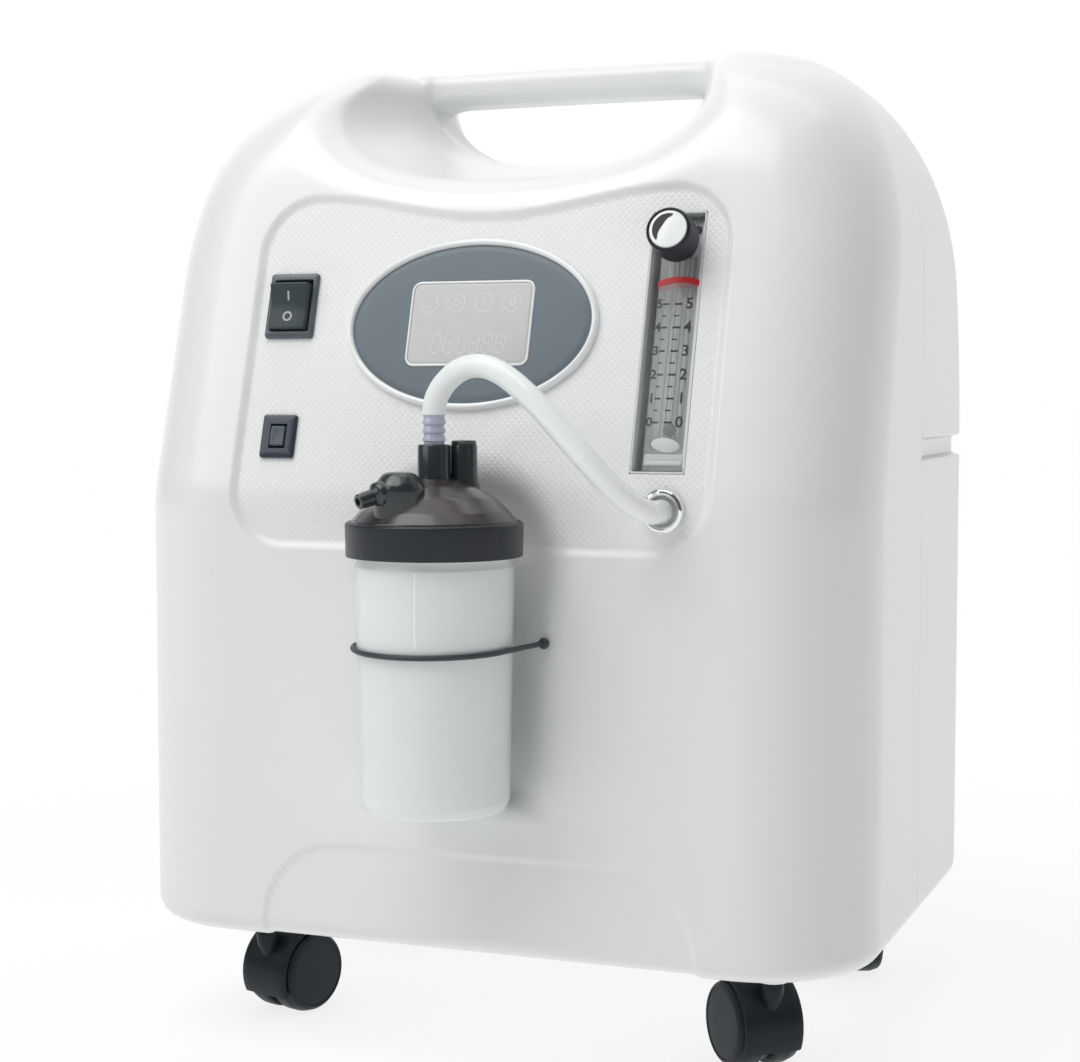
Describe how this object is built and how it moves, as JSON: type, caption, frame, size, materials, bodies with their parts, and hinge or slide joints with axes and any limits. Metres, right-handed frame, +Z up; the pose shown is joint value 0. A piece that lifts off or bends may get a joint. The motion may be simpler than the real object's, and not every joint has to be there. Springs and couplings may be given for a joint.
{
  "type": "oxygen concentrator",
  "caption": "Stationary home oxygen concentrator on swivel casters, with a carry handle, tilted control panel, flow meter and a strapped-on humidifier bottle.",
  "frame": {"origin": "on the floor under the middle of the object's box, without the hose", "axes": "+Z up, -Y out of the front panel, +X to the viewer's right when facing the front"},
  "size_m": [0.353, 0.3383, 0.464],
  "materials": {
    "shell_white": "fine satin moulded plastic",
    "handle_grey": "satin",
    "zinc_plate": "zinc-plated sheet",
    "screw_steel": "plated",
    "gloss_white": "gloss",
    "slate_overlay": "satin printed film",
    "lcd_grey": "glass-like window",
    "switch_slate": "semi gloss",
    "breaker_navy": "semi gloss",
    "tray_black": "matte",
    "clear_acrylic": "polished clear",
    "knob_black": "satin",
    "float_black": "dark polished ball",
    "chrome_bush": "polished",
    "nylon_natural": "natural nylon",
    "jar_frosted": "translucent polypropylene",
    "lid_black": "high gloss",
    "gasket_rubber": "matte",
    "barb_clear": "clear",
    "tube_clear": "translucent",
    "diffuser_stone": "porous",
    "strap_elastic": "elastic cord",
    "hose_silicone": "milky silicone",
    "door_white": "satin",
    "filter_foam": "open-cell foam",
    "inlet_black": "satin",
    "pin_brass": "nickel-plated",
    "compressor_alloy": "cast",
    "fan_black": "matte",
    "column_alloy": "brushed",
    "board_green": "solder mask",
    "caster_nylon": "semi gloss nylon",
    "caster_wheel": "polyurethane tread"
  },
  "bodies": {
    "root": {"front_shell": "shell_white", "rear_shell": "shell_white", "carry_handle": "handle_grey", "chassis_plate": "zinc_plate", "shell_screws": "screw_steel", "display_bezel": "gloss_white", "display_panel": "slate_overlay", "lcd_module": "lcd_grey", "switch_housing": "switch_slate", "breaker_body": "breaker_navy", "flowmeter_tray": "tray_black", "flowmeter_block": "clear_acrylic", "outlet_port": "chrome_bush", "outlet_barb": "nylon_natural", "bottle_lid": "lid_black", "lid_gasket": "gasket_rubber", "lid_barb": "barb_clear", "relief_valve": "lid_black", "outlet_nozzle": "lid_black", "dip_tube": "tube_clear", "diffuser": "diffuser_stone", "bottle_strap": "strap_elastic", "strap_studs": "strap_elastic", "oxygen_hose": "hose_silicone", "intake_filter": "filter_foam", "power_inlet": "inlet_black", "inlet_pins": "pin_brass", "caster_collars": "gloss_white", "compressor_body": "compressor_alloy", "compressor_heads": "compressor_alloy", "compressor_mounts": "gasket_rubber", "fan_frame": "fan_black", "sieve_columns": "column_alloy", "product_tank": "column_alloy", "valve_block": "column_alloy", "control_board": "board_green"},
    "rocker": {"power_rocker": "switch_slate"},
    "reset_button": {"breaker_button": "breaker_navy"},
    "flow_knob": {"flowmeter_knob": "knob_black"},
    "flow_float": {"flowmeter_float": "float_black"},
    "jar": {"bottle_jar": "jar_frosted"},
    "intake_door": {"filter_door": "door_white"},
    "fan": {"fan_rotor": "fan_black"},
    "caster_fl": {"caster_fl_hood": "caster_nylon", "caster_fl_axle": "screw_steel"},
    "wheel_fl_l": {"caster_fl_wheel_l": "caster_wheel"},
    "wheel_fl_r": {"caster_fl_wheel_r": "caster_wheel"},
    "caster_fr": {"caster_fr_hood": "caster_nylon", "caster_fr_axle": "screw_steel"},
    "wheel_fr_l": {"caster_fr_wheel_l": "caster_wheel"},
    "wheel_fr_r": {"caster_fr_wheel_r": "caster_wheel"},
    "caster_rl": {"caster_rl_hood": "caster_nylon", "caster_rl_axle": "screw_steel"},
    "wheel_rl_l": {"caster_rl_wheel_l": "caster_wheel"},
    "wheel_rl_r": {"caster_rl_wheel_r": "caster_wheel"},
    "caster_rr": {"caster_rr_hood": "caster_nylon", "caster_rr_axle": "screw_steel"},
    "wheel_rr_l": {"caster_rr_wheel_l": "caster_wheel"},
    "wheel_rr_r": {"caster_rr_wheel_r": "caster_wheel"}
  },
  "joints": [
    {"name": "rocker_tilt", "type": "hinge", "parent": "root", "child": "rocker", "pos_m": [-0.0945, -0.07382, 0.34346], "axis": [-1, 0, 0], "range_deg": [0, 16]},
    {"name": "reset_push", "type": "slide", "parent": "root", "child": "reset_button", "axis": [0, 0.9603, -0.279], "range_m": [0, 0.002], "stiffness_N_per_m": 600, "springref_m": -0.002},
    {"name": "knob_turn", "type": "hinge", "parent": "root", "child": "flow_knob", "pos_m": [0.0897, -0.06951, 0.36905], "axis": [0, -0.9603, 0.279], "range_deg": [0, 720]},
    {"name": "float_rise", "type": "slide", "parent": "root", "child": "flow_float", "axis": [0, 0.279, 0.9603], "range_m": [0, 0.0552]},
    {"name": "jar_unscrew", "type": "hinge", "parent": "root", "child": "jar", "pos_m": [0, -0.13, 0.2], "axis": [0, 0, -1], "range_deg": [0, 360]},
    {"name": "door_tip", "type": "hinge", "parent": "root", "child": "intake_door", "pos_m": [0, 0.1645, 0.19], "axis": [-1, 0, 0], "range_deg": [0, 90]},
    {"name": "fan_spin", "type": "hinge", "parent": "root", "child": "fan", "pos_m": [0, 0.137, 0.118], "axis": [0, 1, 0], "continuous": true},
    {"name": "front_left_swivel", "type": "hinge", "parent": "root", "child": "caster_fl", "pos_m": [-0.127, -0.0465, 0.045], "axis": [0, 0, 1], "continuous": true},
    {"name": "front_left_left_wheel_roll", "type": "hinge", "parent": "caster_fl", "child": "wheel_fl_l", "pos_m": [-0.12174, -0.02929, 0.02], "axis": [0.9563, -0.2924, 0], "continuous": true},
    {"name": "front_left_right_wheel_roll", "type": "hinge", "parent": "caster_fl", "child": "wheel_fl_r", "pos_m": [-0.12174, -0.02929, 0.02], "axis": [0.9563, -0.2924, 0], "continuous": true},
    {"name": "front_right_swivel", "type": "hinge", "parent": "root", "child": "caster_fr", "pos_m": [0.127, -0.0465, 0.045], "axis": [0, 0, 1], "continuous": true},
    {"name": "front_right_left_wheel_roll", "type": "hinge", "parent": "caster_fr", "child": "wheel_fr_l", "pos_m": [0.11496, -0.03312, 0.02], "axis": [0.7431, 0.6691, 0], "continuous": true},
    {"name": "front_right_right_wheel_roll", "type": "hinge", "parent": "caster_fr", "child": "wheel_fr_r", "pos_m": [0.11496, -0.03312, 0.02], "axis": [0.7431, 0.6691, 0], "continuous": true},
    {"name": "rear_left_swivel", "type": "hinge", "parent": "root", "child": "caster_rl", "pos_m": [-0.127, 0.1185, 0.045], "axis": [0, 0, 1], "continuous": true},
    {"name": "rear_left_left_wheel_roll", "type": "hinge", "parent": "caster_rl", "child": "wheel_rl_l", "pos_m": [-0.136, 0.13409, 0.02], "axis": [0.866, 0.5, 0], "continuous": true},
    {"name": "rear_left_right_wheel_roll", "type": "hinge", "parent": "caster_rl", "child": "wheel_rl_r", "pos_m": [-0.136, 0.13409, 0.02], "axis": [0.866, 0.5, 0], "continuous": true},
    {"name": "rear_right_swivel", "type": "hinge", "parent": "root", "child": "caster_rr", "pos_m": [0.127, 0.1185, 0.045], "axis": [0, 0, 1], "continuous": true},
    {"name": "rear_right_left_wheel_roll", "type": "hinge", "parent": "caster_rr", "child": "wheel_rr_l", "pos_m": [0.12026, 0.13519, 0.02], "axis": [0.9272, 0.3746, 0], "continuous": true},
    {"name": "rear_right_right_wheel_roll", "type": "hinge", "parent": "caster_rr", "child": "wheel_rr_r", "pos_m": [0.12026, 0.13519, 0.02], "axis": [0.9272, 0.3746, 0], "continuous": true}
  ],
  "couplings": [
    {"joint": "float_rise", "follows": "knob_turn", "m_per_rad": 0.00438}
  ]
}
